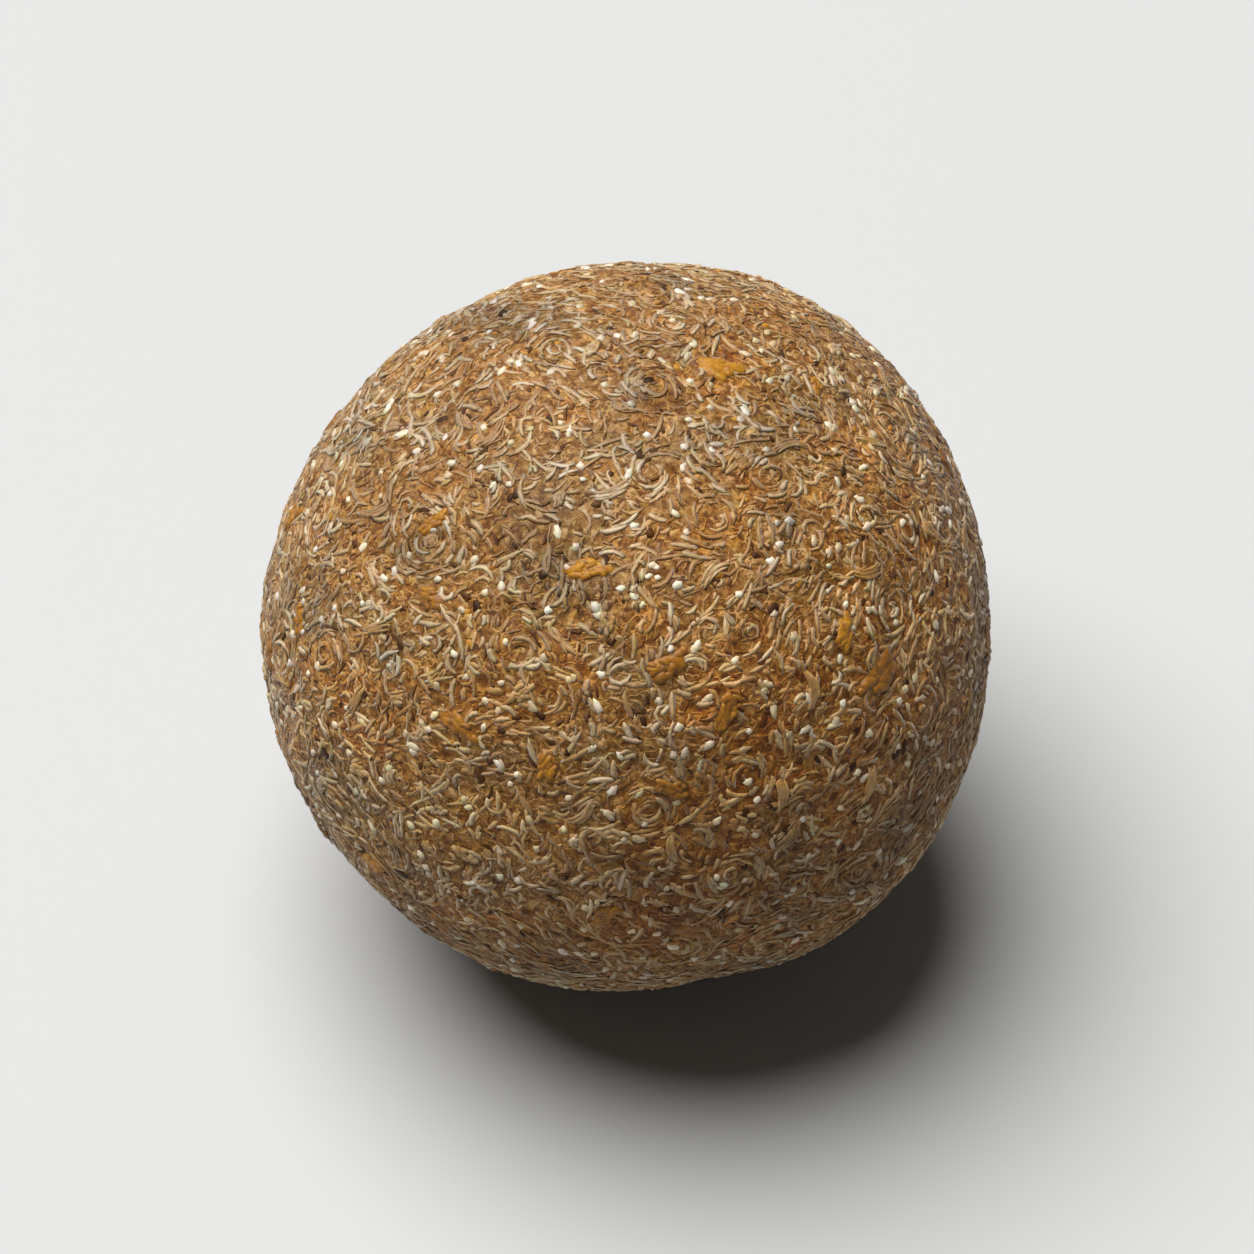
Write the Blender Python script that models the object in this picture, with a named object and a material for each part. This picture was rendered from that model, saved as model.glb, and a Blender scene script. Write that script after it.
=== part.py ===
"""A black rice laddu: ground rice, jaggery and fat, rolled into one ball by hand.

Units are metres and +Z is up. The origin is the middle of the small flat that the ball rests on, and the
ball's front, the side that the marks below are read from, faces -Y and upwards.
"""

import math
import random

import bmesh
import bpy
from mathutils import Matrix, Vector, noise

MM = 0.001

# The ball: its round before the hands press it, and how far its middle stands above the flat under it.
RADIUS = 20.45 * MM
MIDDLE = Vector((-0.01, 0.09, 19.75)) * MM
CORE_SUBDIVISIONS = 5

# The front is seen from this far above the horizon. FRONT_RIGHT and FRONT_UP lie across that view.
FRONT_ELEVATION = math.radians(50)
TOWARDS_FRONT = Vector((0, -math.cos(FRONT_ELEVATION), math.sin(FRONT_ELEVATION)))
FRONT_RIGHT = Vector((1, 0, 0))
FRONT_UP = Vector((0, math.sin(FRONT_ELEVATION), math.cos(FRONT_ELEVATION)))

# What the palms leave round the outline seen from the front: the angle from the right, counterclockwise,
# the height of the swell (below zero a flat), and the angle that it spreads over.
OUTLINE_SWELLS = (
    (58, 0.82 * MM, 16),
    (312, 0.62 * MM, 18),
    (22, 0.30 * MM, 9),
    (112, -0.14 * MM, 14),
    (154, -0.46 * MM, 18),
    (200, -0.14 * MM, 15),
    (288, -0.60 * MM, 11),
)

# The other palm marks are spread over the whole ball by a rule.
PALM_MARKS = 14
PALM_HEIGHT = 0.30 * MM
PALM_SPREADS = (15, 24)
PALM_SEED = 5

# The unevenness of the pressed meal: how many waves go with a radius, and their height. Its own weight
# has settled the meal round the flat, up to this share of the radius above the lowest point.
MEAL_WAVES = ((2.6, 0.28 * MM), (6.5, 0.15 * MM), (12.0, 0.12 * MM))
MEAL_OFFSET = Vector((3.1, 7.7, 1.9))
SETTLED = 0.12

# The larger bits in the meal, spread evenly. Each kind has its share of them, the shortest and longest
# length, the width as a share of the length, how far it stands proud, and how far it is bent. BIT_DRIFT is
# how far one is moved at random, as a share of their spacing, and BIT_WIDTH_PLAY how far its width varies.
BIT_COUNT = 146
BIT_SEED = 11
BIT_KINDS = (
    ("bran_sliver", 0.46, (1.8 * MM, 2.7 * MM), 0.20, 0.16 * MM, 0.16),
    ("rice_grit", 0.34, (1.0 * MM, 1.5 * MM), 0.55, 0.18 * MM, 0.0),
    ("jaggery_crumb", 0.20, (1.4 * MM, 2.2 * MM), 0.60, 0.12 * MM, 0.05),
)
BIT_DRIFT = 0.24
BIT_WIDTH_PLAY = (0.85, 1.15)
BIT_SEGMENTS = 6
BIT_RINGS = 4
THICKEST = 0.70 * MM
CLEAR_OF_FLAT = -0.90

# The jaggery crumbs that show on the front: how far right of and above the ball's middle each lies, as seen
# from the front, its length and width, and its heading, counterclockwise from the right.
FRONT_CRUMBS = (
    (-2.1 * MM, 3.2 * MM, 2.5 * MM, 1.0 * MM, 3),
    (5.0 * MM, 14.2 * MM, 2.1 * MM, 1.4 * MM, 10),
    (-9.1 * MM, -5.2 * MM, 2.7 * MM, 1.1 * MM, -35),
    (-4.3 * MM, -7.4 * MM, 1.3 * MM, 1.0 * MM, 70),
    (-17.9 * MM, 0.5 * MM, 1.5 * MM, 1.0 * MM, 60),
    (-10.5 * MM, 1.6 * MM, 1.7 * MM, 1.0 * MM, -15),
    (13.5 * MM, -2.5 * MM, 2.5 * MM, 1.6 * MM, 35),
    (5.3 * MM, -4.5 * MM, 1.7 * MM, 1.0 * MM, 80),
    (2.4 * MM, -8.7 * MM, 1.6 * MM, 1.0 * MM, -20),
)
FRONT_CRUMB_PROUD = 0.12 * MM
CLEAR_OF_CRUMB = 2.6 * MM

LADDU_BROWN = (0.27, 0.15, 0.063, 1)
LADDU_ROUGHNESS = 0.68


def spot_on_sphere(index, count):
    """The direction of one of count points spread evenly over a ball, from the top down."""
    height = 1 - (2 * index + 1) / count
    across = math.sqrt(1 - height * height)
    turn = index * math.pi * (3 - math.sqrt(5))
    return Vector((across * math.cos(turn), across * math.sin(turn), height))


def palm_marks():
    """Every swell and flat, as its direction, its height and how sharply it falls away."""
    marks = []
    for angle, height, spread in OUTLINE_SWELLS:
        turn = math.radians(angle)
        direction = FRONT_RIGHT * math.cos(turn) + FRONT_UP * math.sin(turn)
        marks.append((direction, height, math.radians(spread) ** 2))
    draw = random.Random(PALM_SEED)
    for index in range(PALM_MARKS):
        direction = spot_on_sphere(index, PALM_MARKS)
        height = draw.uniform(-PALM_HEIGHT, PALM_HEIGHT)
        marks.append((direction, height, math.radians(draw.uniform(*PALM_SPREADS)) ** 2))
    return marks


PALMS = palm_marks()


def pressed_radius(direction):
    """How far the pressed surface lies from the ball's middle, along a direction of length 1."""
    radius = RADIUS
    for mark, height, spread in PALMS:
        radius += height * math.exp((direction.dot(mark) - 1) / spread)
    uneven = min(1, (direction.z + 1) / SETTLED) ** 2
    for waves, height in MEAL_WAVES:
        radius += height * uneven * noise.noise(direction * waves + MEAL_OFFSET * waves)
    return radius


def new_object(name, mesh_data, collection):
    made = bpy.data.objects.new(name, mesh_data)
    collection.objects.link(made)
    return made


def make_core(collection):
    """The ball of pressed meal, before its flat is cut."""
    shape = bmesh.new()
    bmesh.ops.create_icosphere(shape, subdivisions=CORE_SUBDIVISIONS, radius=1)
    for vertex in shape.verts:
        direction = vertex.co.normalized()
        vertex.co = MIDDLE + direction * pressed_radius(direction)
    mesh = bpy.data.meshes.new("laddu")
    shape.to_mesh(mesh)
    shape.free()
    return new_object("laddu", mesh, collection)


def make_bit(direction, heading, length, width, proud, bend, collection):
    """One bit, half sunk in the meal: a short spindle that lies along the surface."""
    along = (heading - direction * heading.dot(direction)).normalized()
    across = direction.cross(along)
    thickness = min(width, THICKEST)
    shape = bmesh.new()
    bmesh.ops.create_uvsphere(shape, u_segments=BIT_SEGMENTS, v_segments=BIT_RINGS, radius=0.5)
    bmesh.ops.scale(shape, vec=(width, thickness, length), verts=shape.verts)
    for vertex in shape.verts:
        vertex.co.x += bend * length * (1 - (2 * vertex.co.z / length) ** 2)
    seat = MIDDLE + direction * (pressed_radius(direction) + proud - thickness / 2)
    turned = Matrix((across, direction, along)).transposed().to_4x4()
    bmesh.ops.transform(shape, matrix=Matrix.Translation(seat) @ turned, verts=shape.verts)
    bmesh.ops.recalc_face_normals(shape, faces=shape.faces)
    mesh = bpy.data.meshes.new("bit")
    shape.to_mesh(mesh)
    shape.free()
    new_object("bit", mesh, collection)


def make_front_crumbs(collection):
    """The jaggery crumbs of the front, and the directions that they lie in."""
    taken = []
    for right, up, length, width, turn in FRONT_CRUMBS:
        depth = math.sqrt(RADIUS ** 2 - right ** 2 - up ** 2)
        direction = (FRONT_RIGHT * right + FRONT_UP * up + TOWARDS_FRONT * depth).normalized()
        angle = math.radians(turn)
        heading = FRONT_RIGHT * math.cos(angle) + FRONT_UP * math.sin(angle)
        make_bit(direction, heading, length, width, FRONT_CRUMB_PROUD, 0, collection)
        taken.append(direction)
    return taken


def make_spread_bits(taken, collection):
    """The bits of every kind, spread over the ball away from the crumbs of the front and from the flat."""
    draw = random.Random(BIT_SEED)
    shares = [kind[1] for kind in BIT_KINDS]
    for index in range(BIT_COUNT):
        drift = Vector((draw.gauss(0, 1), draw.gauss(0, 1), draw.gauss(0, 1)))
        step = BIT_DRIFT * math.sqrt(4 * math.pi / BIT_COUNT)
        direction = (spot_on_sphere(index, BIT_COUNT) + drift * step).normalized()
        _, _, lengths, slimness, proud, bend = draw.choices(BIT_KINDS, shares)[0]
        length = draw.uniform(*lengths)
        width = length * slimness * draw.uniform(*BIT_WIDTH_PLAY)
        heading = Vector((draw.gauss(0, 1), draw.gauss(0, 1), draw.gauss(0, 1)))
        bend *= draw.choice((-1, 0, 1))
        near = any((direction - other).length * RADIUS < CLEAR_OF_CRUMB for other in taken)
        if near or direction.z < CLEAR_OF_FLAT:
            continue
        make_bit(direction, heading, length, width, proud, bend, collection)


def join_bits(core, bits):
    """Fuses the bits to the ball and removes their own objects."""
    union = core.modifiers.new("bits", "BOOLEAN")
    union.operation = "UNION"
    union.operand_type = "COLLECTION"
    union.collection = bits
    graph = bpy.context.evaluated_depsgraph_get()
    joined = bpy.data.meshes.new_from_object(core.evaluated_get(graph))
    core.modifiers.clear()
    core.data = joined
    for bit in list(bits.objects):
        bpy.data.objects.remove(bit)
    bpy.data.collections.remove(bits)


def cut_flat(core):
    """Cuts the small flat that the ball rests on, at the height of the origin."""
    shape = bmesh.new()
    shape.from_mesh(core.data)
    everything = shape.verts[:] + shape.edges[:] + shape.faces[:]
    cut = bmesh.ops.bisect_plane(
        shape, geom=everything, dist=1e-7, plane_co=(0, 0, 0), plane_no=(0, 0, 1), clear_inner=True
    )
    rim = [part for part in cut["geom_cut"] if isinstance(part, bmesh.types.BMEdge)]
    bmesh.ops.contextual_create(shape, geom=rim)
    bmesh.ops.recalc_face_normals(shape, faces=shape.faces)
    shape.to_mesh(core.data)
    shape.free()


def laddu_material():
    material = bpy.data.materials.new("laddu_meal")
    material.use_nodes = True
    surface = material.node_tree.nodes["Principled BSDF"]
    surface.inputs["Base Color"].default_value = LADDU_BROWN
    surface.inputs["Roughness"].default_value = LADDU_ROUGHNESS
    surface.inputs["Metallic"].default_value = 0
    return material


def main():
    for old in list(bpy.data.objects):
        bpy.data.objects.remove(old)
    laddu = bpy.data.collections.new("black_rice_laddu")
    bits = bpy.data.collections.new("bits")
    bpy.context.scene.collection.children.link(laddu)
    bpy.context.scene.collection.children.link(bits)
    core = make_core(laddu)
    taken = make_front_crumbs(bits)
    make_spread_bits(taken, bits)
    join_bits(core, bits)
    cut_flat(core)
    core.data.materials.clear()
    core.data.materials.append(laddu_material())
    core.data.shade_smooth()


main()
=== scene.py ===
"""The looks of a black rice laddu: its pressed meal and everything that shows in it, in metres, +Z up."""

import math
import random

import bmesh
import bpy
import numpy as np
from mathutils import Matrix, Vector, noise


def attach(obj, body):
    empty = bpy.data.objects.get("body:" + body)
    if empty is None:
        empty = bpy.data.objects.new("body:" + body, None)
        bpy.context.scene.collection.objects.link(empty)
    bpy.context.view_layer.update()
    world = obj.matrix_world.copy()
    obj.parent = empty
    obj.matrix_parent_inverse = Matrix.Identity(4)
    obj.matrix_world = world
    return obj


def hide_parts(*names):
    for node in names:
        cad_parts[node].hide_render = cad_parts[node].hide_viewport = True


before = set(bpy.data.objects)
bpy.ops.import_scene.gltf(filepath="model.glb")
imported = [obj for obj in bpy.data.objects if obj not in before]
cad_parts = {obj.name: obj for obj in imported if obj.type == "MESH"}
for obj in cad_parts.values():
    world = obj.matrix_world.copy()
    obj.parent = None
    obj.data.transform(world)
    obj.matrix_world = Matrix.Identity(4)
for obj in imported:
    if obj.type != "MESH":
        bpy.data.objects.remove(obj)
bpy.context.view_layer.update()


# The pressed meal. Ground black rice bound with melted jaggery and ghee, squeezed and rolled between the
# palms into one ball. The palms leave swells and flats, the coarse meal leaves lumps and a few pits, and
# its own weight has settled it on a small flat.

MM = 0.001
BALL_RADIUS = 20.45 * MM
BALL_MIDDLE = np.array((-0.01, 0.09, 19.75)) * MM

# The front is seen from this far above the horizon. FRONT_RIGHT and FRONT_UP lie across that view.
FRONT_ELEVATION = math.radians(50)
TOWARDS_FRONT = np.array((0, -math.cos(FRONT_ELEVATION), math.sin(FRONT_ELEVATION)))
FRONT_RIGHT = np.array((1.0, 0, 0))
FRONT_UP = np.array((0, math.sin(FRONT_ELEVATION), math.cos(FRONT_ELEVATION)))

# The palm marks round the outline seen from the front: angle from the right, height and spread.
OUTLINE_SWELLS = (
    (58, 0.82 * MM, 16),
    (312, 0.62 * MM, 18),
    (22, 0.30 * MM, 9),
    (112, -0.14 * MM, 14),
    (154, -0.46 * MM, 18),
    (200, -0.14 * MM, 15),
    (288, -0.60 * MM, 11),
)
PALM_MARKS = 14
PALM_HEIGHT = 0.30 * MM
PALM_SPREADS = (15, 24)
PALM_SEED = 5

# The lumps of the meal: waves to a radius, and height. The fine ones are under the size of a grain. All
# fade out towards the lowest point, from SETTLED of the radius above it.
MEAL_WAVES = ((2.6, 0.28 * MM), (6.5, 0.15 * MM), (12.0, 0.12 * MM))
FINE_WAVES = ((24.0, 0.05 * MM), (45.0, 0.035 * MM))
MEAL_OFFSET = np.array((3.1, 7.7, 1.9))
SETTLED = 0.12

# The pits between the lumps. PIT_DRIFT is how far one is moved at random, as a share of the radius.
PIT_COUNT = 70
PIT_WIDTHS = (0.28 * MM, 0.55 * MM)
PIT_DEPTHS = (0.10 * MM, 0.30 * MM)
PIT_DRIFT = 0.12
PIT_SEED = 23

# The core grows from a cube with this many cuts to a side. It lies a little under the surface that the
# grains are pressed into, and clear of what lies on the flat.
CORE_CUTS = 127
CORE_SUNK = 0.04 * MM
FLAT_COVER = 0.05 * MM


def spread_evenly(count):
    """Directions spread evenly over a ball, from the top down."""
    index = np.arange(count)
    height = 1 - (2 * index + 1) / count
    across = np.sqrt(1 - height**2)
    turn = index * math.pi * (3 - math.sqrt(5))
    return np.stack((across * np.cos(turn), across * np.sin(turn), height), 1)


def unit(vectors):
    return vectors / np.linalg.norm(vectors, axis=-1, keepdims=True)


def palm_marks():
    """Every swell and flat, as its direction, its height and how sharply it falls away."""
    marks = []
    for angle, height, spread in OUTLINE_SWELLS:
        turn = math.radians(angle)
        direction = FRONT_RIGHT * math.cos(turn) + FRONT_UP * math.sin(turn)
        marks.append((direction, height, math.radians(spread) ** 2))
    draw = random.Random(PALM_SEED)
    for direction in spread_evenly(PALM_MARKS):
        height = draw.uniform(-PALM_HEIGHT, PALM_HEIGHT)
        marks.append((direction, height, math.radians(draw.uniform(*PALM_SPREADS)) ** 2))
    return marks


PALMS = palm_marks()

pit_draw = np.random.default_rng(PIT_SEED)
PITS = unit(spread_evenly(PIT_COUNT) + pit_draw.normal(0, PIT_DRIFT, (PIT_COUNT, 3)))
PIT_WIDTH = pit_draw.uniform(*PIT_WIDTHS, PIT_COUNT) / BALL_RADIUS
PIT_DEPTH = pit_draw.uniform(*PIT_DEPTHS, PIT_COUNT)


def waves_at(directions, waves):
    places = (directions + MEAL_OFFSET) * waves
    return np.array([noise.noise(place) for place in places.tolist()])


def surface_radius(directions):
    """How far the surface lies from the ball's middle, along each direction of length 1."""
    radius = np.full(len(directions), BALL_RADIUS)
    for mark, height, spread in PALMS:
        radius += height * np.exp((directions @ mark - 1) / spread)
    uneven = np.minimum(1, (directions[:, 2] + 1) / SETTLED) ** 2
    for waves, height in MEAL_WAVES + FINE_WAVES:
        radius += height * uneven * waves_at(directions, waves)
    for pit, width, depth in zip(PITS, PIT_WIDTH, PIT_DEPTH):
        radius -= depth * np.exp((directions @ pit - 1) / width**2)
    return radius


def linear(red, green, blue):
    """A colour as the eye reads it, 0 to 255, in the values that the shader takes, by the sRGB curve."""
    parts = [x / 255 for x in (red, green, blue)]
    return (*(x / 12.92 if x <= 0.04045 else ((x + 0.055) / 1.055) ** 2.4 for x in parts), 1)


# The fine dust of dry meal shows as a pale sheen where the surface turns away from the eye.
DUST_ROUGHNESS = 0.32


def new_finish(name, roughness, shine, dust):
    """A material, its node tree and its shader."""
    material = bpy.data.materials.new(name)
    material.use_nodes = True
    shader = material.node_tree.nodes["Principled BSDF"]
    shader.inputs["Roughness"].default_value = roughness
    shader.inputs["Specular IOR Level"].default_value = shine
    shader.inputs["Sheen Weight"].default_value = dust
    shader.inputs["Sheen Roughness"].default_value = DUST_ROUGHNESS
    return material, material.node_tree, shader


def add_noise(tree, waves, detail, roughness=0.6, warp=0.0):
    """Noise over the ball, by Object coordinates, with this many waves to a metre."""
    place = tree.nodes.new("ShaderNodeTexCoord")
    pattern = tree.nodes.new("ShaderNodeTexNoise")
    pattern.inputs["Scale"].default_value = waves
    pattern.inputs["Detail"].default_value = detail
    pattern.inputs["Roughness"].default_value = roughness
    pattern.inputs["Distortion"].default_value = warp
    tree.links.new(place.outputs["Object"], pattern.inputs["Vector"])
    return pattern.outputs["Fac"]


def add_math(tree, way, *values):
    """Arithmetic on values, each a number or a socket."""
    step = tree.nodes.new("ShaderNodeMath")
    step.operation = way
    for socket, value in zip(step.inputs, values):
        if isinstance(value, (int, float)):
            socket.default_value = value
        else:
            tree.links.new(value, socket)
    return step.outputs[0]


def add_ramp(tree, source, stops):
    """Colours along a value: stops are (value, colour), with colours as the eye reads them."""
    ramp = tree.nodes.new("ShaderNodeValToRGB")
    elements = ramp.color_ramp.elements
    while len(elements) < len(stops):
        elements.new(1)
    for element, (value, colour) in zip(elements, stops):
        element.position = value
        element.color = linear(*colour)
    tree.links.new(source, ramp.inputs["Fac"])
    return ramp.outputs["Color"]


def add_mix(tree, way, first, second, share):
    """Two colours mixed: second is a colour as the eye reads it or a socket, share a number or a socket."""
    mix = tree.nodes.new("ShaderNodeMix")
    mix.data_type = "RGBA"
    mix.blend_type = way
    tree.links.new(first, mix.inputs["A"])
    if isinstance(second, tuple):
        mix.inputs["B"].default_value = linear(*second)
    else:
        tree.links.new(second, mix.inputs["B"])
    if isinstance(share, (int, float)):
        mix.inputs["Factor"].default_value = share
    else:
        tree.links.new(share, mix.inputs["Factor"])
    return mix.outputs["Result"]


# The tints that drift over the meal, each along a noise with these waves to a metre, detail and warp: amber
# where jaggery melted in, broad grey where there is more husk, and the shades from one grain to the next.
MELTED_TINT = (
    (430, 3, 0.0),
    ((0.40, (246, 248, 255)), (0.50, (255, 253, 248)), (0.58, (251, 240, 206)), (0.66, (246, 223, 160))),
)
BROAD_TINT = (
    (190, 4, 0.0),
    ((0.34, (216, 219, 224)), (0.46, (249, 250, 251)), (0.54, (255, 251, 242)), (0.66, (255, 240, 206))),
)
FINE_TINT = (
    (1800, 2, 0.4),
    ((0.34, (255, 243, 240)), (0.46, (255, 254, 254)), (0.54, (254, 255, 251)), (0.66, (246, 252, 226))),
)

# The patches that show on the front: right and up of the middle as seen from the front, radius and tint.
# A tint over 255 makes the meal paler. Most are the meal's own grey and amber; the others are painted
# light and painted shade, each marked below.
FRONT_PATCHES_AND_PAINTED_LIGHT = (
    (-4.9 * MM, 5.0 * MM, 4.6 * MM, (222, 227, 234)),
    (13.2 * MM, -3.0 * MM, 4.0 * MM, (250, 232, 180)),
    (5.2 * MM, 13.6 * MM, 3.2 * MM, (255, 236, 180)),
    (-15.8 * MM, -4.4 * MM, 4.0 * MM, (250, 234, 186)),
    (-8.6 * MM, -3.2 * MM, 3.6 * MM, (248, 230, 182)),
    (6.0 * MM, -6.0 * MM, 3.6 * MM, (248, 230, 178)),
    (2.0 * MM, -15.6 * MM, 3.6 * MM, (240, 218, 186)),
    # Painted light: paler and greyer over the upper left, where the key light and its sheen fall.
    (-5.0 * MM, 14.5 * MM, 13.0 * MM, (256, 260, 286)),
    # Partly amber meal, partly painted shade: richer and darker towards the lower right, where shade and
    # warm bounce fall.
    (9.0 * MM, -9.0 * MM, 12.0 * MM, (252, 239, 214)),
    (-13.5 * MM, 9.0 * MM, 5.0 * MM, (240, 244, 255)),
    (6.0 * MM, 9.0 * MM, 4.0 * MM, (240, 244, 255)),
    # Partly golden meal, partly painted warm bounce light along the right side.
    (17.0 * MM, 2.0 * MM, 6.0 * MM, (252, 238, 205)),
    (-13.5 * MM, -11.0 * MM, 6.0 * MM, (246, 251, 246)),
    # Painted light: these two make the middle right paler, as if more light fell there.
    (10.0 * MM, 3.5 * MM, 12.0 * MM, (275, 274, 276)),
    (9.0 * MM, 11.5 * MM, 5.0 * MM, (270, 270, 272)),
    # Painted light: these two make the left rim paler and greyer, where the key light falls.
    (-17.8 * MM, -0.5 * MM, 7.0 * MM, (272, 279, 298)),
    (-13.8 * MM, 12.6 * MM, 5.0 * MM, (266, 277, 298)),
)

# Their ragged edges follow a noise. With its middle of 0.5, a patch is whole up to 0.2 of its radius and
# gone at 1.2 of it.
RAGGED_WAVES = 420
PATCH_REACH = 0.7


def on_front(right, up):
    """The direction of the spot that lies this far right of and above the middle, seen from the front."""
    depth = math.sqrt(BALL_RADIUS**2 - right**2 - up**2)
    return (FRONT_RIGHT * right + FRONT_UP * up + TOWARDS_FRONT * depth) / BALL_RADIUS


def add_patches(tree, colour, soaked=1.0):
    """Tints a colour by the meal's drifting tints and by the front's patches, some painted light and shade.

    soaked says how deep the amber and the front's patches, their painted light and shade too, colour
    this kind of grain, from 0 to 1.
    """
    for ((waves, detail, warp), stops), share in ((MELTED_TINT, soaked), (BROAD_TINT, 1), (FINE_TINT, 1)):
        drift = add_noise(tree, waves, detail, warp=warp)
        colour = add_mix(tree, "MULTIPLY", colour, add_ramp(tree, drift, stops), share)
    place = tree.nodes.new("ShaderNodeTexCoord").outputs["Object"]
    ragged = add_noise(tree, RAGGED_WAVES, 3)
    for right, up, radius, tint in FRONT_PATCHES_AND_PAINTED_LIGHT:
        distance = tree.nodes.new("ShaderNodeVectorMath")
        distance.operation = "DISTANCE"
        distance.inputs[1].default_value = BALL_MIDDLE + on_front(right, up) * BALL_RADIUS
        tree.links.new(place, distance.inputs[0])
        inside = add_math(tree, "MULTIPLY_ADD", distance.outputs["Value"], -1 / radius, PATCH_REACH)
        share = add_math(tree, "ADD", inside, ragged)
        share.node.use_clamp = True
        colour = add_mix(tree, "MULTIPLY", colour, tint, add_math(tree, "MULTIPLY", share, soaked))
    return colour


def add_bump(tree, shader, height, strength, distance):
    bump = tree.nodes.new("ShaderNodeBump")
    bump.inputs["Strength"].default_value = strength
    bump.inputs["Distance"].default_value = distance
    tree.links.new(height, bump.inputs["Height"])
    tree.links.new(bump.outputs["Normal"], shader.inputs["Normal"])


# The core's own finish: its shades along a noise, and lines of bran where a warped noise is at its middle.
# LINE_THINNESS is higher the thinner they are, LINE_SHARE says how far their colour covers the shades, and
# LINE_HEIGHT how high they stand beside the noise's own height of 1.
CORE_WAVES = 2300
CORE_SHADES = ((0.34, (73, 41, 8)), (0.46, (104, 67, 21)), (0.56, (130, 93, 45)), (0.68, (157, 124, 78)))
CORE_BUMP = 0.14 * MM
LINE_WAVES = 1050
LINE_WARP = 0.9
LINE_THINNESS = 22
LINE_COLOUR = (184, 143, 88)
LINE_SHARE = 0.75
LINE_HEIGHT = 0.6

# Half of what a side of the cube takes of its cell on the map that bakes.
SIDE_FILL = 0.49


def core_map(mesh, cube):
    """Lays the six sides of the cube that the core grew from side by side on the map that bakes."""
    layer = mesh.uv_layers.new(name="OFBake")
    corner = np.empty(len(mesh.loops), np.int32)
    mesh.loops.foreach_get("vertex_index", corner)
    sides = cube[corner].reshape(-1, 4, 3)
    middle = sides.mean(1)
    axis = np.abs(middle).argmax(1)
    faces = np.arange(len(sides))
    back = middle[faces, axis] < 0
    across = sides[faces[:, None], np.arange(4), ((axis + 1) % 3)[:, None]]
    up = sides[faces[:, None], np.arange(4), ((axis + 2) % 3)[:, None]]
    column = (axis[:, None] + 0.5 + SIDE_FILL * across) / 3
    row = (back[:, None] + 0.5 + SIDE_FILL * up) / 2
    layer.uv.foreach_set("vector", np.stack((column, row), -1).astype(np.float32).ravel())


def make_core():
    shape = bmesh.new()
    bmesh.ops.create_cube(shape, size=2)
    bmesh.ops.subdivide_edges(shape, edges=shape.edges[:], cuts=CORE_CUTS, use_grid_fill=True)
    mesh = bpy.data.meshes.new("meal_core")
    shape.to_mesh(mesh)
    shape.free()
    cube = np.array([vertex.co for vertex in mesh.vertices])
    directions = unit(np.tan(cube * math.pi / 4))
    places = BALL_MIDDLE + directions * (surface_radius(directions) - CORE_SUNK)[:, None]
    places[:, 2] = np.maximum(places[:, 2], FLAT_COVER)
    mesh.vertices.foreach_set("co", places.astype(np.float32).ravel())
    core_map(mesh, cube)
    mesh.shade_smooth()
    return mesh


def core_finish():
    material, tree, shader = new_finish("pressed_meal", roughness=0.66, shine=0.2, dust=0.12)
    grain = add_noise(tree, CORE_WAVES, 4, roughness=0.65)
    colour = add_ramp(tree, grain, CORE_SHADES)
    curls = add_noise(tree, LINE_WAVES, 1, roughness=0.5, warp=LINE_WARP)
    ridge = add_math(tree, "ABSOLUTE", add_math(tree, "SUBTRACT", curls, 0.5))
    line = add_math(tree, "MULTIPLY_ADD", ridge, -LINE_THINNESS, 1)
    line.node.use_clamp = True
    colour = add_mix(tree, "MIX", colour, LINE_COLOUR, add_math(tree, "MULTIPLY", line, LINE_SHARE))
    tree.links.new(add_patches(tree, colour), shader.inputs["Base Color"])
    height = add_math(tree, "MULTIPLY_ADD", line, LINE_HEIGHT, grain)
    add_bump(tree, shader, height, strength=0.7, distance=CORE_BUMP)
    return material


def finish_piece(name, mesh, material):
    """Puts a finished piece in the scene, riding on the laddu's body."""
    mesh.materials.append(material)
    piece = bpy.data.objects.new(name, mesh)
    bpy.context.scene.collection.objects.link(piece)
    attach(piece, "root")
    return piece


core = finish_piece("meal_core", make_core(), core_finish())
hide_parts("laddu")


# The meal's grains. Rice ground to crumbs of about half a millimetre, brown where jaggery coats them and
# tan where they broke open. The palms press them flush, and the strands lie over them.

TAN_GRAINS = 4600
BROWN_GRAINS = 4600
GRAIN_SIZES = (0.30 * MM, 0.60 * MM)
GRAIN_THICKNESS = 0.26 * MM
GRAIN_CURL = 0.2

# Shades run from dark to pale. DUST_SHEEN is how strongly the dust shows on most kinds of grain.
TAN_SHADES = ((120, 82, 38), (142, 106, 60), (164, 134, 92))
BROWN_SHADES = ((84, 49, 10), (110, 71, 21), (133, 95, 45))
DUST_SHEEN = 0.24

# How far a grain or strand is moved from its even place, as a share of their spacing, how far it turns
# from the flow, and how uneven grains and strands are.
DRIFT = 0.42
HEADING_PLAY = 0.4
GRAIN_UNEVENNESS = 0.24
STRAND_UNEVENNESS = 0.26

# The flow of the meal under the palms, with its waves to a radius, and the small whorls where it was rubbed
# round. How well a kind follows the flow is its order, from 0 to 1. Blender's vector noise starts from the
# clock unless it is given a seed.
FLOW_WAVES = 6.5
FLOW_SEED = 7
GRAIN_ORDER = 0.5
STRAND_ORDER = 0.9
WHORL_COUNT = 120
WHORL_DRIFT = 0.5
WHORL_SPREAD = 0.075
WHORL_PULL = 3.0
WHORL_SEED = 29
TIGHTEST_RING = 0.3 * MM

# A grain's colour along its shades: its own tone's share, and how far the mottling shifts it.
TONE_SHARE = 0.75
MOTTLE_SHARE = 1.8
MOTTLE_WAVES = 2600
MOTTLE_BUMP = 0.08 * MM

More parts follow.
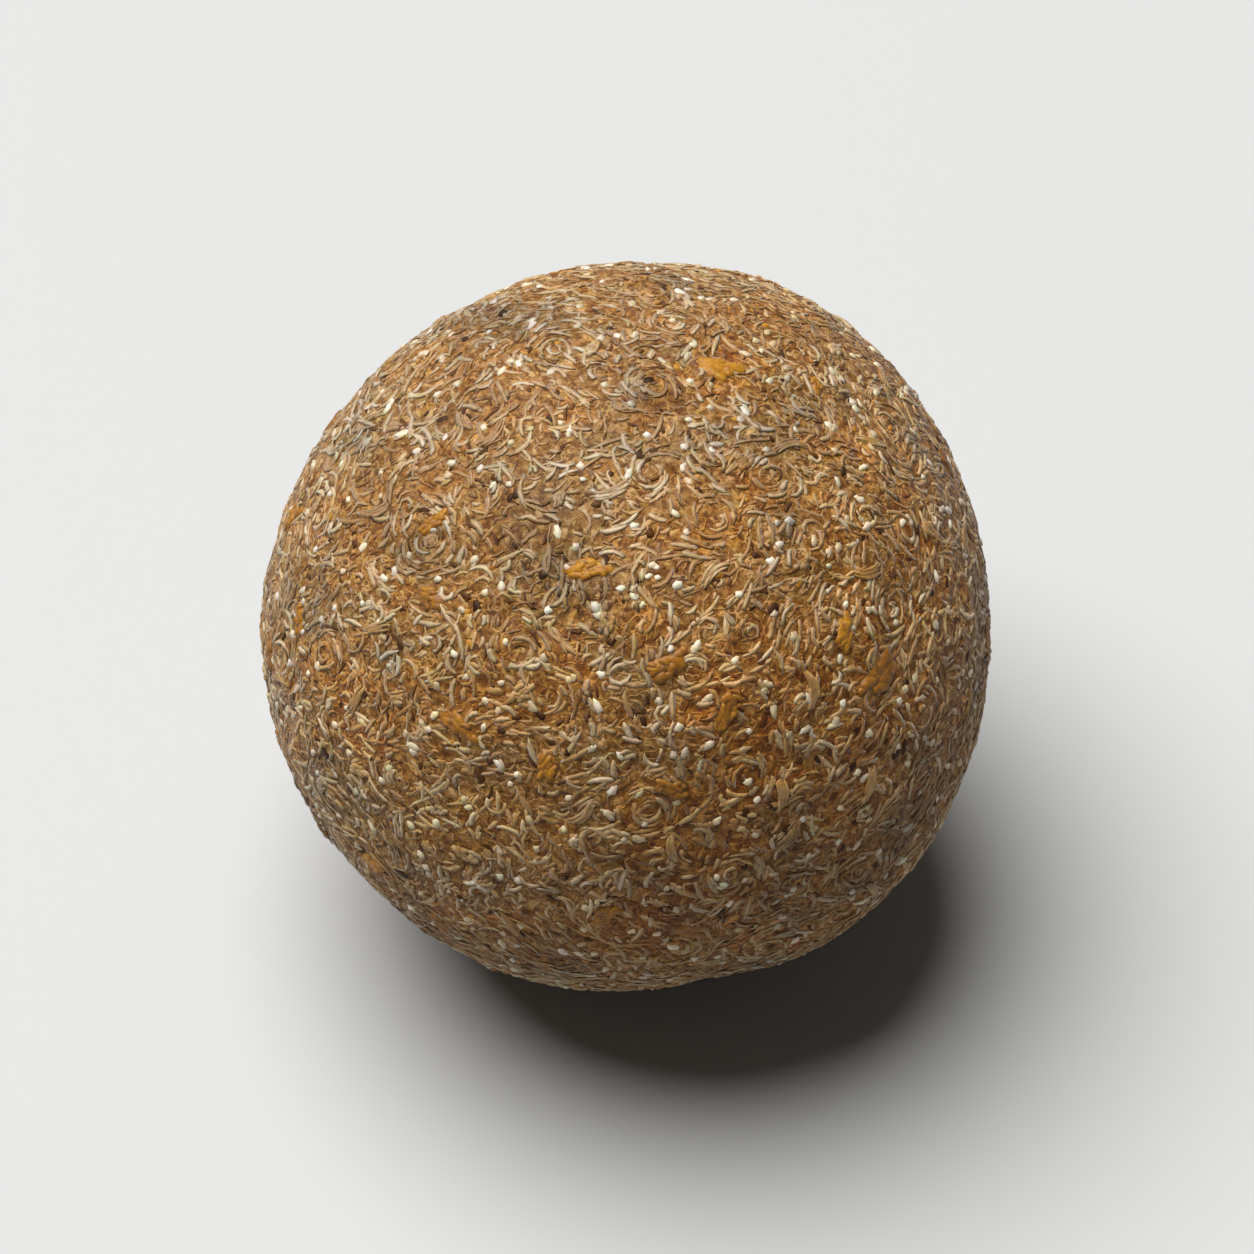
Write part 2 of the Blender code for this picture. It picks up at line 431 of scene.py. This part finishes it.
# The drift of the tones over the ball: waves to a radius, and how far they drift.
TONE_WAVES = ((5.0, 0.95), (14.0, 0.8))

# What lies on the flat is pressed level with it, give or take this much. Every copy is bent by at least
# LEAST_CURL, because a straight one has no bow to wrap it on. COPY_FILL is what a copy takes of its cell on
# the map that bakes.
SEAT_PLAY = 0.04 * MM
LEAST_CURL = 0.05
COPY_FILL = 0.8


def spread_at_random(count, drift, draw):
    """Directions spread evenly over the ball, then moved at random by a share of their spacing."""
    step = drift * math.sqrt(4 * math.pi / count)
    return unit(spread_evenly(count) + draw.normal(0, step, (count, 3)))


WHORLS = spread_at_random(WHORL_COUNT, WHORL_DRIFT, np.random.default_rng(WHORL_SEED))
noise.seed_set(FLOW_SEED)


def lying_along(directions, order, draw):
    """A heading along the surface at each direction: random, and with order also along the meal's flow."""
    flow = np.array([noise.noise_vector(place) for place in (directions * FLOW_WAVES).tolist()])
    heading = order * unit(flow) + draw.normal(0, HEADING_PLAY, (len(directions), 3))
    for whorl in WHORLS:
        near = np.exp((directions @ whorl - 1) / WHORL_SPREAD**2)
        heading += order * WHORL_PULL * near[:, None] * unit(np.cross(whorl, directions))
    heading -= directions * (heading * directions).sum(1, keepdims=True)
    return unit(heading)


def curled_round(directions, headings, length, curl):
    """The curls, changed near a whorl to those of strands that lie in rings round it."""
    closeness = directions @ WHORLS.T
    nearest = WHORLS[closeness.argmax(1)]
    near = np.exp((closeness.max(1) - 1) / WHORL_SPREAD**2)
    towards = nearest - directions
    distance = np.linalg.norm(towards, axis=1) * BALL_RADIUS
    side = np.sign((np.cross(directions, headings) * towards).sum(1))
    ring = -side * length / np.maximum(distance, TIGHTEST_RING)
    return curl + near * (ring - curl)


def template(make):
    """A unit shape as its points and its faces, in the same order each time. make fills a bmesh."""
    shape = bmesh.new()
    make(shape)
    shape.verts.index_update()
    points = np.array([vertex.co for vertex in shape.verts])
    faces = sorted([vertex.index for vertex in face.verts] for face in shape.faces)
    shape.free()
    return points, faces


def crumb_shape(shape):
    bmesh.ops.create_icosphere(shape, subdivisions=1, radius=0.5)


def scatter(name, form, directions, headings, sizes, proud, curl, unevenness, tones, draw):
    """Joins a copy of the form for each direction, wrapped on the surface.

    sizes are each copy's width, thickness and length, proud how far its top stands above the surface, curl
    the angle that it turns through from end to end, unevenness how far its points lie in or out, and tones
    its shade, 0 to 1.
    """
    points, faces = form
    count = len(directions)
    local = points[None] * (1 + draw.uniform(-unevenness, unevenness, (count, len(points), 1)))
    curl = np.where(np.abs(curl) < LEAST_CURL, LEAST_CURL, curl)[:, None]
    bow = sizes[:, 2:] / curl
    across = (bow + local[:, :, 0] * sizes[:, :1]) * np.cos(curl * local[:, :, 2]) - bow
    along = (bow + local[:, :, 0] * sizes[:, :1]) * np.sin(curl * local[:, :, 2])
    out = (local[:, :, 1] - 0.5) * sizes[:, 1:2] + proud[:, None]
    sideways = np.cross(directions, headings)
    places = directions[:, None] * BALL_RADIUS + sideways[:, None] * across[..., None]
    places = unit(places + headings[:, None] * along[..., None]).reshape(-1, 3)
    places = BALL_MIDDLE + places * (surface_radius(places) + out.ravel())[:, None]
    seat = np.repeat(draw.uniform(0, SEAT_PLAY, count), len(points))
    places[:, 2] = np.maximum(places[:, 2], seat)
    copied = []
    for sides in sorted({len(face) for face in faces}):
        some = np.array([face for face in faces if len(face) == sides])
        copied += (some + len(points) * np.arange(count)[:, None, None]).reshape(-1, sides).tolist()
    mesh = bpy.data.meshes.new(name)
    mesh.from_pydata(places, [], copied)
    tone = mesh.attributes.new("tone", "FLOAT", "POINT")
    tone.data.foreach_set("value", np.repeat(tones, len(points)))
    cells_map(mesh, points, count)
    mesh.shade_smooth()
    return mesh


def cells_map(mesh, points, count):
    """Gives each copy a cell of its own on the map that bakes."""
    layer = mesh.uv_layers.new(name="OFBake")
    corner = np.empty(len(mesh.loops), np.int32)
    mesh.loops.foreach_get("vertex_index", corner)
    copy, point = np.divmod(corner, len(points))
    rows = math.ceil(math.sqrt(count))
    cell = np.stack((copy % rows, copy // rows), 1)
    places = (cell + 0.5 + COPY_FILL * points[point][:, [0, 2]]) / rows
    layer.uv.foreach_set("vector", places.astype(np.float32).ravel())


def grain_finish(
    name, roughness, shades, bump=0.3, shine=0.35, soaked=1.0, tinted=True, dust=DUST_SHEEN
):
    """The finish of a kind of grain: its shades by tone, mottled, tinted by the patches, finely rough."""
    material, tree, shader = new_finish(name, roughness, shine, dust)
    tone = tree.nodes.new("ShaderNodeAttribute")
    tone.attribute_name = "tone"
    mottle = add_noise(tree, MOTTLE_WAVES, 3)
    centred = (1 - TONE_SHARE - MOTTLE_SHARE) / 2
    spread = add_math(tree, "MULTIPLY_ADD", tone.outputs["Fac"], TONE_SHARE, centred)
    shade = add_math(tree, "MULTIPLY_ADD", mottle, MOTTLE_SHARE, spread)
    colour = add_ramp(tree, shade, tuple(zip((0, 0.5, 1), shades)))
    if tinted:
        colour = add_patches(tree, colour, soaked)
    tree.links.new(colour, shader.inputs["Base Color"])
    add_bump(tree, shader, mottle, bump, MOTTLE_BUMP)
    return material


def tones_of(directions, draw):
    """Each copy's tone: random, and a little lighter or darker together in places."""
    tones = draw.uniform(0, 1, len(directions))
    for waves, drift in TONE_WAVES:
        tones += drift * waves_at(directions, waves)
    return np.clip(tones, 0, 1)


def make_grains(name, count, stretch, prouds, seed, larger=1.0):
    """Grains: stretch is how many times as long as wide, prouds in mm, larger how many times the size."""
    draw = np.random.default_rng(seed)
    directions = spread_at_random(count, DRIFT, draw)
    width = draw.uniform(*GRAIN_SIZES, count) * larger
    length = width * draw.uniform(*stretch, count)
    sizes = np.stack((width, np.full(count, GRAIN_THICKNESS), length), 1)
    proud = draw.uniform(*prouds, count) * MM
    headings = lying_along(directions, GRAIN_ORDER, draw)
    curl = draw.normal(0, GRAIN_CURL, count)
    tones = tones_of(directions, draw)
    form = template(crumb_shape)
    return scatter(name, form, directions, headings, sizes, proud, curl, GRAIN_UNEVENNESS, tones, draw)


tan_grains = make_grains("tan_grains", TAN_GRAINS, (1.1, 2.2), prouds=(-0.02, 0.04), seed=31)
brown_grains = make_grains("brown_grains", BROWN_GRAINS, (1.0, 2.0), prouds=(-0.03, 0.02), seed=32)
finish_piece("tan_grains", tan_grains, grain_finish("tan_grain", 0.6, TAN_SHADES, soaked=0.9))
finish_piece("brown_grains", brown_grains, grain_finish("brown_grain", 0.6, BROWN_SHADES, dust=0.12))


# The bran strands. Bran peels off the black rice in curled strips as it is ground, tan on the inner side
# and dark on the outer. They lie flush in the face of the ball, bent by the rolling, and follow its flow.

STRANDS = 4980
FINE_STRANDS = 6600
HUSK_STRIPS = 3600
STRAND_SHADES = ((128, 96, 58), (147, 119, 82), (169, 147, 114))
FINE_SHADES = ((109, 75, 36), (139, 105, 62), (169, 140, 100))
HUSK_SHADES = ((64, 36, 7), (90, 55, 14), (120, 81, 33))

# Most strands are short, the more the higher STRAND_SKEW is, and some curl right round. A strand is
# STRAND_FLATNESS of its width thick, and STRAND_TAPER is lower the blunter its ends are.
STRAND_SKEW = 1.6
STRAND_CURL = 1.7
MOST_CURL = 4.0
STRAND_FLATNESS = 0.48
STRAND_TAPER = 0.55


def blunted(shape, taper):
    """Makes a ball a round-ended rod: its rings are moved out, the further the lower the taper."""
    for vertex in shape.verts:
        wide = 2 * math.hypot(vertex.co.x, vertex.co.y)
        if wide > 1e-6:
            vertex.co.xy *= wide**taper / wide


def strand_shape(shape, rings=6):
    bmesh.ops.create_uvsphere(shape, u_segments=4, v_segments=rings, radius=0.5)
    blunted(shape, STRAND_TAPER)


def short_strand_shape(shape):
    strand_shape(shape, rings=4)


def make_strands(name, make, count, lengths, widths, prouds, seed):
    """Strands: lengths, widths and prouds are the lowest and highest, in mm."""
    draw = np.random.default_rng(seed)
    directions = spread_at_random(count, DRIFT, draw)
    shortest, longest = lengths
    length = (shortest + (longest - shortest) * draw.uniform(0, 1, count) ** STRAND_SKEW) * MM
    width = draw.uniform(*widths, count) * MM
    sizes = np.stack((width, width * STRAND_FLATNESS, length), 1)
    proud = draw.uniform(*prouds, count) * MM
    headings = lying_along(directions, STRAND_ORDER, draw)
    curl = curled_round(directions, headings, length, draw.normal(0, STRAND_CURL, count))
    curl = np.clip(curl, -MOST_CURL, MOST_CURL)
    tones = tones_of(directions, draw)
    form = template(make)
    return scatter(name, form, directions, headings, sizes, proud, curl, STRAND_UNEVENNESS, tones, draw)


strands = make_strands(
    "bran_strands", strand_shape, STRANDS, (0.6, 2.1), (0.245, 0.375), (0.02, 0.06), seed=41
)
fine_strands = make_strands(
    "fine_bran", short_strand_shape, FINE_STRANDS, (0.45, 1.4), (0.18, 0.28), (0.0, 0.04), seed=42
)
husk = make_strands(
    "husk_strips", short_strand_shape, HUSK_STRIPS, (0.5, 1.6), (0.18, 0.30), (-0.02, 0.03), seed=43
)
finish_piece("bran_strands", strands, grain_finish("bran_strand", 0.52, STRAND_SHADES, soaked=0.6))
finish_piece("fine_bran", fine_strands, grain_finish("fine_bran", 0.55, FINE_SHADES, soaked=0.8))
finish_piece("husk_strips", husk, grain_finish("husk_strip", 0.6, HUSK_SHADES, shine=0.2, dust=0.1))


# The pale slivers. Broken rice and coconut rubbed to slivers, cream to nearly white. They catch the light
# and stand a little prouder than the bran.

SLIVERS = 1500
SLIVER_SHADES = ((140, 117, 85), (158, 138, 109), (177, 161, 137))
slivers = make_strands(
    "pale_slivers", strand_shape, SLIVERS, (0.6, 1.7), (0.27, 0.38), (0.04, 0.08), seed=51
)
finish_piece("pale_slivers", slivers, grain_finish("pale_sliver", 0.48, SLIVER_SHADES, soaked=0.3))


# The white grits. Bits of broken rice kernel, about half a millimetre across and rounder than the rest. The
# palms press them in, and of the fine things they stand the proudest.

GRITS = 1050
GRIT_SIZES = (0.35 * MM, 0.56 * MM)
GRIT_SHADES = ((158, 141, 115), (181, 168, 146), (204, 196, 183))
GRIT_SEED = 61

# Some are long and the others nearly round. GRIT_THICKNESSES are shares of the width, GRIT_PROUDS in mm.
LONG_GRITS = 0.4
LONG_STRETCH = (1.3, 1.9)
ROUND_STRETCH = 1.1
GRIT_THICKNESSES = (0.6, 0.9)
GRIT_PROUDS = (0.06, 0.11)
GRIT_DRIFT = 0.5
GRIT_ORDER = 0.3


def grit_shape(shape):
    bmesh.ops.create_uvsphere(shape, u_segments=7, v_segments=6, radius=0.5)


def make_grits():
    draw = np.random.default_rng(GRIT_SEED)
    directions = spread_at_random(GRITS, GRIT_DRIFT, draw)
    width = draw.uniform(*GRIT_SIZES, GRITS)
    long = draw.uniform(0, 1, GRITS) < LONG_GRITS
    length = width * np.where(long, draw.uniform(*LONG_STRETCH, GRITS), ROUND_STRETCH)
    sizes = np.stack((width, width * draw.uniform(*GRIT_THICKNESSES, GRITS), length), 1)
    proud = draw.uniform(*GRIT_PROUDS, GRITS) * MM
    headings = lying_along(directions, GRIT_ORDER, draw)
    curl = np.zeros(GRITS)
    tones = draw.uniform(0, 1, GRITS)
    form = template(grit_shape)
    return scatter(
        "white_grits", form, directions, headings, sizes, proud, curl, GRAIN_UNEVENNESS, tones, draw
    )


grit_finish = grain_finish("white_grit", 0.42, GRIT_SHADES, bump=0.2, soaked=0.2)
finish_piece("white_grits", make_grits(), grit_finish)


# The dark bits. Crumbs of the rice's black coat and charred jaggery, pressed level with the meal. Their
# dark colour is partly painted shade, standing in for the shade in small holes.

DARK_BITS = 640
DARK_SHADES = ((44, 25, 7), (60, 35, 11), (84, 52, 18))
dark_bits = make_grains("dark_bits", DARK_BITS, (1.0, 2.2), prouds=(0.0, 0.06), seed=71, larger=1.18)
finish_piece("dark_bits", dark_bits, grain_finish("dark_bit", 0.6, DARK_SHADES, shine=0.15, dust=0.05))


# The larger bits. What the mill left coarse: slivers of bran, grits of rice and crumbs of jaggery, pressed
# half into the ball. They lie where the solid has them, and their lengths and widths are the solid's own,
# but for the length of the front's crumbs. Their faces stay clean of meal.

# BIT_DRIFT is a share of their spacing. No bit lies lower than CLEAR_OF_FLAT of the radius, or nearer to a
# crumb of the front than CLEAR_OF_CRUMB.
BIT_COUNT = 146
BIT_SEED = 11
BIT_TONE_SEED = 12
BIT_DRIFT = 0.24
BIT_WIDTH_PLAY = (0.85, 1.15)
BIT_UNEVENNESS = 0.14
BIT_TAPER = 0.6
BIT_PROUD = 0.10 * MM
THICKEST = 0.50 * MM
CLEAR_OF_FLAT = -0.90
CLEAR_OF_CRUMB = 2.6 * MM
JAGGERY_SHADES = ((100, 64, 22), (130, 83, 19), (158, 109, 22))

# Each kind's share, shortest and longest length, width as a share of the length, and curl.
BIT_KINDS = (
    ("bran_sliver", 0.46, (1.8 * MM, 2.7 * MM), 0.20, 1.28),
    ("rice_grit", 0.34, (1.0 * MM, 1.5 * MM), 0.55, 0.0),
    ("jaggery_crumb", 0.20, (1.4 * MM, 2.2 * MM), 0.60, 0.4),
)

# The jaggery crumbs of the front: right and up, length, width, heading and how amber it is. Their ends are
# sunk in the fine meal, so each is made longer than it shows, by this much.
ENDS_SUNK = 1.14
FRONT_CRUMBS = (
    (-2.1 * MM, 3.2 * MM, 2.5 * MM, 1.0 * MM, 3, 0.8),
    (5.0 * MM, 14.2 * MM, 2.1 * MM, 1.4 * MM, 10, 1.0),
    (-9.1 * MM, -5.2 * MM, 2.7 * MM, 1.1 * MM, -35, 0.45),
    (-4.3 * MM, -7.4 * MM, 1.3 * MM, 1.0 * MM, 70, 0.6),
    (-17.9 * MM, 0.5 * MM, 1.5 * MM, 1.0 * MM, 60, 0.7),
    (-10.5 * MM, 1.6 * MM, 1.7 * MM, 1.0 * MM, -15, 0.3),
    (13.5 * MM, -2.5 * MM, 2.5 * MM, 1.6 * MM, 35, 0.3),
    (5.3 * MM, -4.5 * MM, 1.7 * MM, 1.0 * MM, 80, 0.5),
    (2.4 * MM, -8.7 * MM, 1.6 * MM, 1.0 * MM, -20, 0.2),
)

# A grit or a crumb of jaggery breaks up into CRUMBLES pieces. They lie within CRUMBLE_REACH of its length
# and width from its middle, CRUMBLE_SIZES are shares of its width, and CRUMBLE_LIFTS are in mm.
CRUMBLES = 12
CRUMBLE_REACH = 0.44
CRUMBLE_SIZES = (0.34, 0.56)
CRUMBLE_STRETCH = (1.2, 2.2)
CRUMBLE_TONE_PLAY = 0.25
CRUMBLE_TURN = 0.5
CRUMBLE_LIFTS = (0.01, 0.05)
CRUMBLE_CURL = 0.4

# A sliver has fibres. They lie over it to FIBRE_SPREAD of its width either side. They are FIBRE_WIDTH of
# its width wide and FIBRE_SHARES of its length long, and FIBRE_LIFTS are in mm.
FIBRES = 5
FIBRE_SPREAD = 0.42
FIBRE_WIDTH = 0.40
FIBRE_SHARES = (0.45, 0.85)
FIBRE_TURN = 0.06
FIBRE_LIFTS = (-0.01, 0.04)
FIBRE_TONE_PLAY = 0.4


def front_crumbs():
    """Each front crumb as its direction, heading, length, width, proud, curl and tone."""
    crumbs = []
    for right, up, length, width, turn, tone in FRONT_CRUMBS:
        angle = math.radians(turn)
        heading = FRONT_RIGHT * math.cos(angle) + FRONT_UP * math.sin(angle)
        crumbs.append((on_front(right, up), heading, length * ENDS_SUNK, width, BIT_PROUD, 0.0, tone))
    return crumbs


def larger_bits():
    """The bits of each kind, drawn in the same order as the solid's own."""
    bits = {kind[0]: [] for kind in BIT_KINDS}
    bits["jaggery_crumb"] = front_crumbs()
    taken = np.array([crumb[0] for crumb in bits["jaggery_crumb"]])
    draw = random.Random(BIT_SEED)
    tones = random.Random(BIT_TONE_SEED)
    step = BIT_DRIFT * math.sqrt(4 * math.pi / BIT_COUNT)
    shares = [kind[1] for kind in BIT_KINDS]
    for spot in spread_evenly(BIT_COUNT):
        drift = np.array((draw.gauss(0, 1), draw.gauss(0, 1), draw.gauss(0, 1)))
        direction = unit(spot + drift * step)
        kind, _, lengths, slimness, curl = draw.choices(BIT_KINDS, shares)[0]
        length = draw.uniform(*lengths)
        width = length * slimness * draw.uniform(*BIT_WIDTH_PLAY)
        heading = np.array((draw.gauss(0, 1), draw.gauss(0, 1), draw.gauss(0, 1)))
        curl *= draw.choice((-1, 0, 1))
        near = np.linalg.norm(taken - direction, axis=1).min() * BALL_RADIUS < CLEAR_OF_CRUMB
        if near or direction[2] < CLEAR_OF_FLAT:
            continue
        bits[kind].append((direction, heading, length, width, BIT_PROUD, curl, tones.uniform(0, 1)))
    return bits


def lengthwise(direction, heading):
    """The directions along the surface that a bit runs in and lies across."""
    along = unit(heading - direction * (heading @ direction))
    return along, np.cross(direction, along)


def varied(tone, play, draw):
    """A tone, lighter or darker at random."""
    return min(1, max(0, tone + draw.uniform(-play, play)))


def crumbled(bits, seed):
    """Breaks each bit up into rough pieces that lie close together over its own length and width."""
    draw = np.random.default_rng(seed)
    pieces = []
    for direction, heading, length, width, proud, _, tone in bits:
        along, sideways = lengthwise(direction, heading)
        for turn in draw.uniform(0, 2 * math.pi, CRUMBLES):
            away = math.sqrt(draw.uniform(0, 1)) * CRUMBLE_REACH
            step = along * math.cos(turn) * away * length + sideways * math.sin(turn) * away * width
            spot = unit(direction + step / BALL_RADIUS)
            across = draw.uniform(*CRUMBLE_SIZES) * width
            stretch = draw.uniform(*CRUMBLE_STRETCH)
            shade = varied(tone, CRUMBLE_TONE_PLAY, draw)
            turned = along + sideways * draw.normal(0, CRUMBLE_TURN)
            lifted = proud + draw.uniform(*CRUMBLE_LIFTS) * MM
            curl = draw.normal(0, CRUMBLE_CURL)
            pieces.append((spot, turned, across * stretch, across, lifted, curl, shade))
    return pieces


def split_in_fibres(bits, seed):
    """Lays fibres side by side over each bit, each shorter than the bit and turned a little."""
    draw = np.random.default_rng(seed)
    fibres = []
    for direction, heading, length, width, proud, curl, tone in bits:
        along, sideways = lengthwise(direction, heading)
        for across in np.linspace(-1, 1, FIBRES):
            share = draw.uniform(*FIBRE_SHARES)
            slid = draw.uniform(-1, 1) * (1 - share) / 2 * length
            bowed = curl * slid**2 / (2 * length)
            step = along * slid + sideways * (across * FIBRE_SPREAD * width - bowed)
            spot = unit(direction + step / BALL_RADIUS)
            turned = along - sideways * (curl * slid / length + draw.normal(0, FIBRE_TURN))
            lifted = proud + draw.uniform(*FIBRE_LIFTS) * MM
            shade = varied(tone, FIBRE_TONE_PLAY, draw)
            fibres.append((spot, turned, share * length, FIBRE_WIDTH * width, lifted, share * curl, shade))
    return fibres


def bit_shape(shape):
    bmesh.ops.create_uvsphere(shape, u_segments=8, v_segments=6, radius=0.5)
    blunted(shape, BIT_TAPER)


def make_larger(name, bits, seed):
    """Joins the bits to a piece: each is a direction, heading, length, width, proud, curl and tone."""
    directions = np.array([bit[0] for bit in bits])
    headings = np.array([bit[1] for bit in bits])
    headings -= directions * (headings * directions).sum(1, keepdims=True)
    length, width, proud, curl, tones = np.array([bit[2:] for bit in bits]).T
    sizes = np.stack((width, np.minimum(width, THICKEST), length), 1)
    form = template(bit_shape)
    draw = np.random.default_rng(seed)
    return scatter(
        name, form, directions, unit(headings), sizes, proud, curl, BIT_UNEVENNESS, tones, draw
    )


bits = larger_bits()
bran = bits["bran_sliver"]
ambers = bits["jaggery_crumb"]
large_slivers = make_larger("large_slivers", bran + split_in_fibres(bran, seed=86), seed=81)
large_grits = make_larger("large_grits", crumbled(bits["rice_grit"], seed=85), seed=82)
jaggery = make_larger("jaggery_crumbs", ambers + crumbled(ambers, seed=84), seed=83)
jaggery_finish = grain_finish(
    "jaggery", 0.5, JAGGERY_SHADES, bump=0.5, shine=0.25, tinted=False, dust=0.1
)
finish_piece("large_slivers", large_slivers, grain_finish("large_sliver", 0.55, STRAND_SHADES, bump=0.5))
finish_piece("large_grits", large_grits, grain_finish("large_grit", 0.55, STRAND_SHADES, bump=0.5))
finish_piece("jaggery_crumbs", jaggery, jaggery_finish)


# The jaggery grains. The same unrefined sugar in grains that the eye only just finds, amber among the
# brown. They are pressed in like the rest of the meal.

JAGGERY_GRAINS = 190
jaggery_grains = make_grains(
    "jaggery_grains", JAGGERY_GRAINS, (1.0, 2.0), prouds=(0.02, 0.06), seed=91
)
jaggery_grain_finish = grain_finish(
    "jaggery_grain", 0.5, JAGGERY_SHADES, bump=0.4, shine=0.25, tinted=False, dust=0.1
)
finish_piece("jaggery_grains", jaggery_grains, jaggery_grain_finish)


# The stage: a plain pale floor that curves up far away all round, and one large soft lamp up on the left.
# The lamp and the floor are in metres.

FLOOR_FLAT = 1.2
FLOOR_CURVE = 1.2
FLOOR_TURN = math.radians(42)
FLOOR_RINGS = 8
FLOOR_SIDES = 96
FLOOR_BELOW = 0.05 * MM
FLOOR_COLOUR = (162, 162, 161)

LAMP_PLACE = (-0.98, 0.66, 3.29)
LAMP_SIZE = 3.3
LAMP_WATTS = 316
SKY_STRENGTH = 0.07


def make_floor():
    """A round floor whose edge is drawn outwards and up, ring by ring, along an arc."""
    shape = bmesh.new()
    bmesh.ops.create_circle(shape, cap_ends=True, segments=FLOOR_SIDES, radius=FLOOR_FLAT)
    bmesh.ops.translate(shape, vec=(0, 0, -FLOOR_BELOW), verts=shape.verts)
    edge = [side for side in shape.edges if side.is_boundary]
    for turn in np.linspace(0, FLOOR_TURN, FLOOR_RINGS + 1)[1:]:
        reach = FLOOR_FLAT + FLOOR_CURVE * math.sin(turn)
        grown = bmesh.ops.extrude_edge_only(shape, edges=edge)["geom"]
        verts = [part for part in grown if isinstance(part, bmesh.types.BMVert)]
        edge = [part for part in grown if isinstance(part, bmesh.types.BMEdge) and part.is_boundary]
        for vert in verts:
            vert.co.xy = vert.co.xy.normalized() * reach
            vert.co.z = FLOOR_CURVE * (1 - math.cos(turn)) - FLOOR_BELOW
    bmesh.ops.recalc_face_normals(shape, faces=shape.faces)
    mesh = bpy.data.meshes.new("floor")
    shape.to_mesh(mesh)
    shape.free()
    mesh.shade_smooth()
    return mesh


floor_material, _, floor_shader = new_finish("floor_white", roughness=0.7, shine=0.5, dust=0)
floor_shader.inputs["Base Color"].default_value = linear(*FLOOR_COLOUR)
floor = bpy.data.objects.new("floor", make_floor())
floor.data.materials.append(floor_material)
bpy.context.scene.collection.objects.link(floor)

lamp_data = bpy.data.lights.new("key", "AREA")
lamp_data.shape = "DISK"
lamp_data.size = LAMP_SIZE
lamp_data.energy = LAMP_WATTS
lamp = bpy.data.objects.new("key", lamp_data)
lamp.location = LAMP_PLACE
lamp.rotation_euler = (-Vector(LAMP_PLACE)).to_track_quat("-Z", "Y").to_euler()
bpy.context.scene.collection.objects.link(lamp)

world = bpy.data.worlds.new("studio")
world.use_nodes = True
sky = world.node_tree.nodes["Background"]
sky.inputs["Color"].default_value = (1, 1, 1, 1)
sky.inputs["Strength"].default_value = SKY_STRENGTH
bpy.context.scene.world = world
bpy.context.scene.view_settings.view_transform = "Standard"


# The camera, at the photograph's viewing angle. It looks at the ball's middle through a long lens, and the
# ball is more than half as wide as the frame.

CAMERA_TARGET = Vector((0, 0, 0.0200))
CAMERA_DISTANCE = 0.47
CAMERA_LENS = 240
CAMERA_REACH = 10

camera_data = bpy.data.cameras.new("camera")
camera_data.lens = CAMERA_LENS
camera_data.clip_end = CAMERA_REACH
camera = bpy.data.objects.new("camera", camera_data)
backwards = Vector(TOWARDS_FRONT)
camera.location = CAMERA_TARGET + backwards * CAMERA_DISTANCE
camera.rotation_euler = (-backwards).to_track_quat("-Z", "Y").to_euler()
bpy.context.scene.collection.objects.link(camera)
bpy.context.scene.camera = camera
